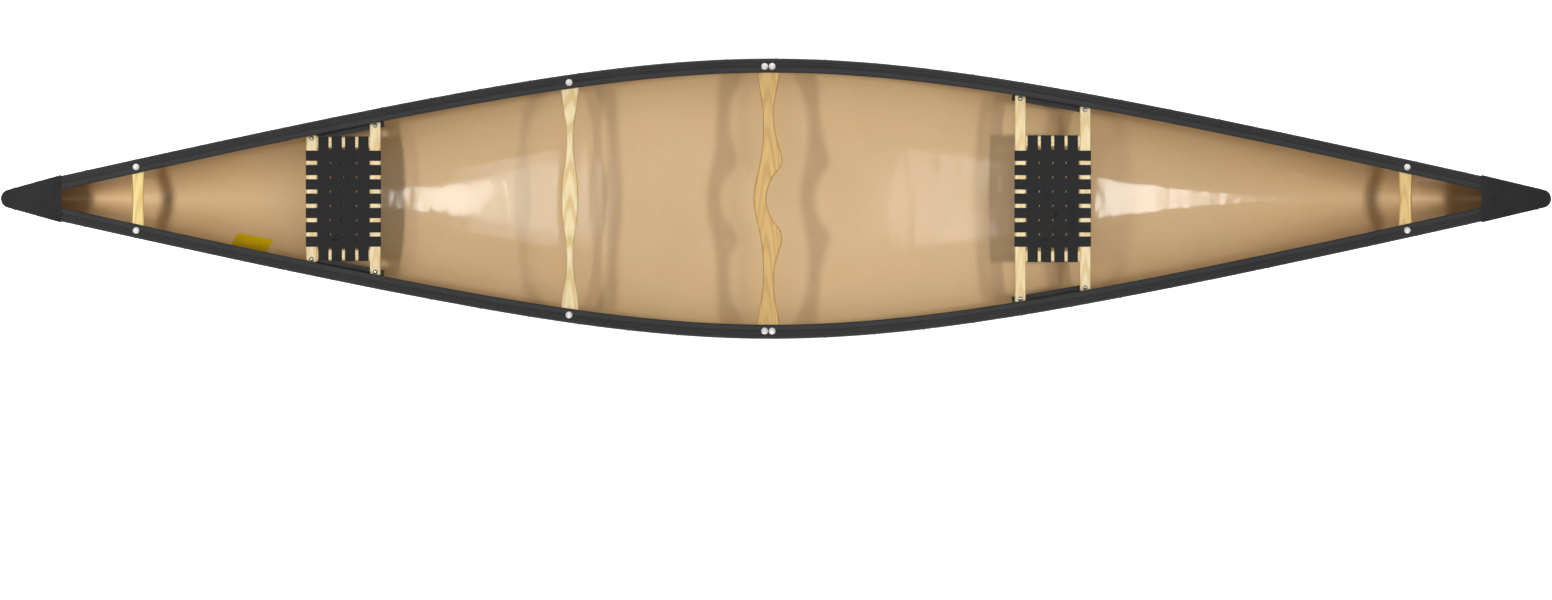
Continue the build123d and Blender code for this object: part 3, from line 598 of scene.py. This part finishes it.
def strap_rings(path, opening, place, axis, pinch):
    """Cross-sections of a strap along its path; axis is the direction that it runs in."""
    half = STRAP_THICK / 2
    rings = []
    line = np.array(path)
    for k in range(len(line)):
        tangent = line[min(k + 1, len(line) - 1)] - line[max(k - 1, 0)]
        tangent /= np.linalg.norm(tangent)
        normal = np.array([tangent[1], -tangent[0]])
        inside = 1 - smoothstep(opening - 0.022, opening - 0.002, abs(line[k][0]))
        width = (STRAP_ON_BAR + (STRAP - STRAP_ON_BAR) * inside) / 2
        shift = pinch * inside
        edge = 0.0006
        flat = [(-width, 0), (-width + edge, half * 0.8), (-width + 4 * edge, half), (0, half)]
        flat += [(-a, b) for a, b in reversed(flat[:-1])]
        flat += [(a, -b) for a, b in reversed(flat[1:-1])]
        ring = []
        for across, up in flat:
            along_run, z = line[k] + normal * up
            ring.append((place[0] + along_run, place[1] + across, z) if axis == "x"
                        else (place[0] + across + shift, place[1] + along_run, z))
        rings.append(ring)
    return np.array(rings)


def woven(seat):
    """Both layers of one seat's webbing, woven over and under each other."""
    middle, length, width, pinch = SEATS[seat]
    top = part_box(f"{seat}_fore_crossbar")[1][2]
    base = top - BAR_THICK
    lines = [(i - (COUNT_ALONG - 1) / 2) * PITCH_ALONG for i in range(COUNT_ALONG)]
    rows = [(j - (COUNT_ACROSS - 1) / 2) * PITCH_ACROSS for j in range(COUNT_ACROSS)]
    for axis in ("x", "y"):
        points, faces = [], []
        mine, other = (lines, rows) if axis == "x" else (rows, lines)
        half, opening = (length / 2, length / 2 - BAR) if axis == "x" else (width / 2, width / 2 - BAR)
        for i, offset in enumerate(mine):
            sign = 1 if axis == "x" else -1
            crossings = {c: sign * WEAVE * (1 if (i + j) % 2 == 0 else -1) for j, c in enumerate(other)}
            path = strap_path(half, opening, base, top, 0.0, crossings)
            place = (middle, offset) if axis == "x" else (middle + offset, 0.0)
            middle_strap = axis == "y" and i in (1, 2)
            drawn = math.copysign(pinch, -offset) if middle_strap else 0.0
            rings = strap_rings(path, opening, place, axis, drawn)
            for ring in rings:
                for p in ring:
                    if p[2] > top - 0.004:
                        a, b = (p[0] - middle) / (length / 2 - BAR), p[1] / (width / 2 - BAR)
                        p[2] -= SAG * max(0, 1 - a * a) * max(0, 1 - b * b)
            start = len(points)
            count, size = rings.shape[:2]
            points += list(rings.reshape(-1, 3))
            faces += grid_faces(count, size, start, wrap=True)
            faces.append(tuple(range(start, start + size)))
            faces.append(tuple(range(start + (count - 1) * size, start + count * size)))
        kind = "lengthwise" if axis == "x" else "crosswise"
        piece = smooth_mesh(f"{seat}_straps_{kind}", points, faces, 60)
        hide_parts(f"{seat}_webbing_{kind}")
        WEBBING.on(piece)


for seat in SEATS:
    woven(seat)


# ---------------------------------------------------------------- blank label inside
LABEL = [(-1.692, -0.108), (-1.580, -0.130), (-1.606, -0.172), (-1.718, -0.149)]


def side_label():
    """Blank label on the starboard inside wall, lying on the inner skin."""
    a, b, c, d = (np.array(corner) for corner in LABEL)
    rows, columns = 9, 13
    grids = {0.0002: [], 0.0007: []}
    for i in range(rows):
        for j in range(columns):
            s, t = j / (columns - 1), i / (rows - 1)
            x, y = (a * (1 - s) + b * s) * (1 - t) + (d * (1 - s) + c * s) * t
            hit, normal = inner_skin.ray_cast(Vector((x, y, 1.0)), Vector((0, 0, -1)))[:2]
            for lift in grids:
                grids[lift].append(hit + normal * lift)
    top, bottom = (np.array(grids[lift]).reshape(rows, columns, 3) for lift in (0.0007, 0.0002))
    piece = shell("blank_label", top, bottom, 60)
    look = Look("label_yellow", Roughness=0.6, Specular_IOR_Level=0.05)
    tone = look.noise(30, 4)
    look.set("Base Color", look.ramp(tone, [(0.3, (0.62, 0.44, 0.0)), (0.7, (0.74, 0.53, 0.0))]))
    look.bump(look.noise(400, 3), 0.08, 0.0002)
    look.on(piece)


side_label()


# ---------------------------------------------------------------- finishes of the CAD nodes
FINISHES = {
    "hull_outer_skin": GREEN, "hull_foam_core": FOAM, "hull_inner_skin": TAN,
    "gunwale_insert_port": BAR_METAL, "gunwale_insert_starboard": BAR_METAL,
    "gunwale_rivets_port": RIVET, "gunwale_rivets_starboard": RIVET,
    "deck_cap_screws": RIVET, "thwart_bolts": SATIN, "thwart_cup_washers": SATIN, "thwart_nuts": STEEL,
}
WOOD = {  # light and dark tones, and the axis of the grain
    "bow_carry_thwart": ((0.80, 0.56, 0.195), (0.66, 0.42, 0.120), "y"),
    "stern_carry_thwart": ((0.85, 0.65, 0.235), (0.72, 0.50, 0.145), "y"),
    "contoured_thwart": ((0.86, 0.70, 0.370), (0.72, 0.50, 0.190), "y"),
    "carrying_yoke": ((0.68, 0.43, 0.120), (0.56, 0.32, 0.075), "y"),
}
for seat in SEATS:
    for end in ("aft", "fore"):
        WOOD[f"{seat}_{end}_crossbar"] = ((0.90, 0.74, 0.41), (0.78, 0.56, 0.24), "y")
    for side in ("port", "starboard"):
        WOOD[f"{seat}_{side}_side_rail"] = ((0.90, 0.74, 0.41), (0.78, 0.56, 0.24), "x")
for seed, (node, (light, dark, along)) in enumerate(WOOD.items()):
    low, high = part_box(node)
    centre = [(a + b) / 2 for a, b in zip(low, high)]
    FINISHES[node] = ash(f"ash_{node}", light, dark, along, centre, 1.7 * seed)
for seat in SEATS:
    for side in ("port", "starboard"):
        FINISHES[f"{seat}_hanger_{side}"] = BRACKET
    for kind in ("hanger_screws", "bolts", "nuts"):
        FINISHES[f"{seat}_{kind}"] = STEEL
for node, look in FINISHES.items():
    look.on(NODES[node])


# ---------------------------------------------------------------- studio
FLOOR_HALF = 40.0
FLOOR_DROP = 0.0006  # the floor lies this far under the keel
FLOOR_GLOW = 0.80  # light that the floor gives off, so that it reads white
SKY = 0.27
END_SPOTS = {  # station aimed at, power, cone in degrees
    "stern": (-2.15, 42000, 5.4), "bow": (1.95, 29000, 6.0),
}
END_SPOT_PLACE = (9.2, 30)  # station towards that end, and height
END_SPOT_RADIUS = 1.2
MIDDLE_SPOT_PLACE = (8.6, 20)
MIDDLE_SPOT_AIM = 0.10
MIDDLE_SPOT = (6300, 6.8, 0.75)  # power, cone in degrees, radius
STREAK_STATION = 2.05
STREAK_PLACE = (1.5, 4.0)  # port side, and height
STREAK = ((0.9, 0.12), 3)  # size, power
OVERHEAD_HEIGHT = 4.6
OVERHEAD = {  # small lights mirrored in the hull's floor: station, length, breadth, power
    "aft_outer": (-0.800, 0.22, 0.52, 4.6), "aft_inner": (-0.570, 0.22, 0.70, 2.5),
    "aft_haze": (-0.550, 0.27, 1.40, 3.4), "middle": (0.350, 0.15, 0.80, 1.4),
    "middle_line": (0.335, 0.012, 1.00, 0.16),
    "fore_inner": (0.860, 0.22, 0.90, 8.3), "fore_outer": (1.030, 0.120, 0.80, 2.3),
}
SIDE_BOX_PLACE = (2.1, 4.2, 0.35)  # towards each end and each side
SIDE_BOX_AIM = (0.5, 0.25)  # station towards that end, and height
SIDE_BOX = ((1.3, 0.25), 75)  # size, power


def flat_colour(name, colour, roughness):
    look = Look(name, Roughness=roughness)
    patches = [(0.2, colour), (0.8, [0.99 * c for c in colour])]
    look.set("Base Color", look.ramp(look.noise(0.8, 3), patches))
    return look


def stage_floor():
    """Plain pale floor under the hull."""
    half = FLOOR_HALF
    corners = [(-half, -half, 0), (half, -half, 0), (half, half, 0), (-half, half, 0)]
    mesh = bpy.data.meshes.new("floor")
    mesh.from_pydata(corners, [], [(0, 1, 2, 3)])
    floor = bpy.data.objects.new("floor", mesh)
    bpy.context.scene.collection.objects.link(floor)
    floor.location.z = -FLOOR_DROP
    look = flat_colour("floor_white", (0.93, 0.93, 0.93), 0.9)
    look.shader.inputs["Emission Color"].default_value = (1, 1, 1, 1)
    look.shader.inputs["Emission Strength"].default_value = FLOOR_GLOW
    look.on(floor)


def area_light(name, place, target, size, power):
    """Rectangular soft light aimed at a target."""
    light = bpy.data.lights.new(name, "AREA")
    light.shape, light.size, light.size_y, light.energy = "RECTANGLE", size[0], size[1], power
    lamp = bpy.data.objects.new(name, light)
    bpy.context.scene.collection.objects.link(lamp)
    lamp.location = place
    lamp.rotation_euler = (Vector(target) - Vector(place)).to_track_quat("-Z", "Y").to_euler()
    lamp.visible_camera = False


def spot_light(name, place, target, power, cone, radius):
    """Round soft light whose beam fades towards the edge of its cone, in degrees."""
    light = bpy.data.lights.new(name, "SPOT")
    light.energy, light.spot_size, light.spot_blend = power, math.radians(cone), 1.0
    light.shadow_soft_size = radius
    lamp = bpy.data.objects.new(name, light)
    bpy.context.scene.collection.objects.link(lamp)
    lamp.location = place
    lamp.rotation_euler = (Vector(target) - Vector(place)).to_track_quat("-Z", "Y").to_euler()


def studio():
    world = bpy.data.worlds.new("studio")
    world.use_nodes = True
    world.node_tree.nodes["Background"].inputs["Color"].default_value = (1, 1, 1, 1)
    world.node_tree.nodes["Background"].inputs["Strength"].default_value = SKY
    bpy.context.scene.world = world
    bpy.context.scene.view_settings.view_transform = "Standard"
    stage_floor()
    for end, name in ((-1, "stern"), (1, "bow")):
        aim, power, cone = END_SPOTS[name]
        x, z = END_SPOT_PLACE
        spot_light(f"{name}_spot", (x * end, 0, z), (aim, 0, 0), power, cone, END_SPOT_RADIUS)
        x, z = MIDDLE_SPOT_PLACE
        target = (MIDDLE_SPOT_AIM * end, 0, 0)
        spot_light(f"middle_spot_{name}", (x * end, 0, z), target, *MIDDLE_SPOT)
        x = STREAK_STATION * end
        area_light(f"{name}_streak", (x, *STREAK_PLACE), (x, 0, 0.2), *STREAK)
    for name, (x, length, breadth, power) in OVERHEAD.items():
        place = (x, 0, OVERHEAD_HEIGHT)
        area_light(f"overhead_{name}", place, (x, 0, 0), (length, breadth), power)
    for side, name in ((-1, "starboard"), (1, "port")):
        for end, half in ((-1, "aft"), (1, "fore")):
            x, y, z = SIDE_BOX_PLACE
            target = (SIDE_BOX_AIM[0] * end, 0, SIDE_BOX_AIM[1])
            area_light(f"{name}_box_{half}", (x * end, y * side, z), target, *SIDE_BOX)


CAMERA_HEIGHT = 12.0
PIXEL = 0.0031440  # metres of the boat across one pixel of the frame
FRAME_WIDTH = 1552
VIEW_DOWN = 0.3185  # how far the middle of the frame lies to starboard of the boat's middle line


def camera():
    data = bpy.data.cameras.new("camera")
    data.type = "ORTHO"
    data.ortho_scale = FRAME_WIDTH * PIXEL
    data.clip_end = 100
    view = bpy.data.objects.new("camera", data)
    bpy.context.scene.collection.objects.link(view)
    view.location = (0, -VIEW_DOWN, CAMERA_HEIGHT)
    bpy.context.scene.camera = view


studio()
camera()
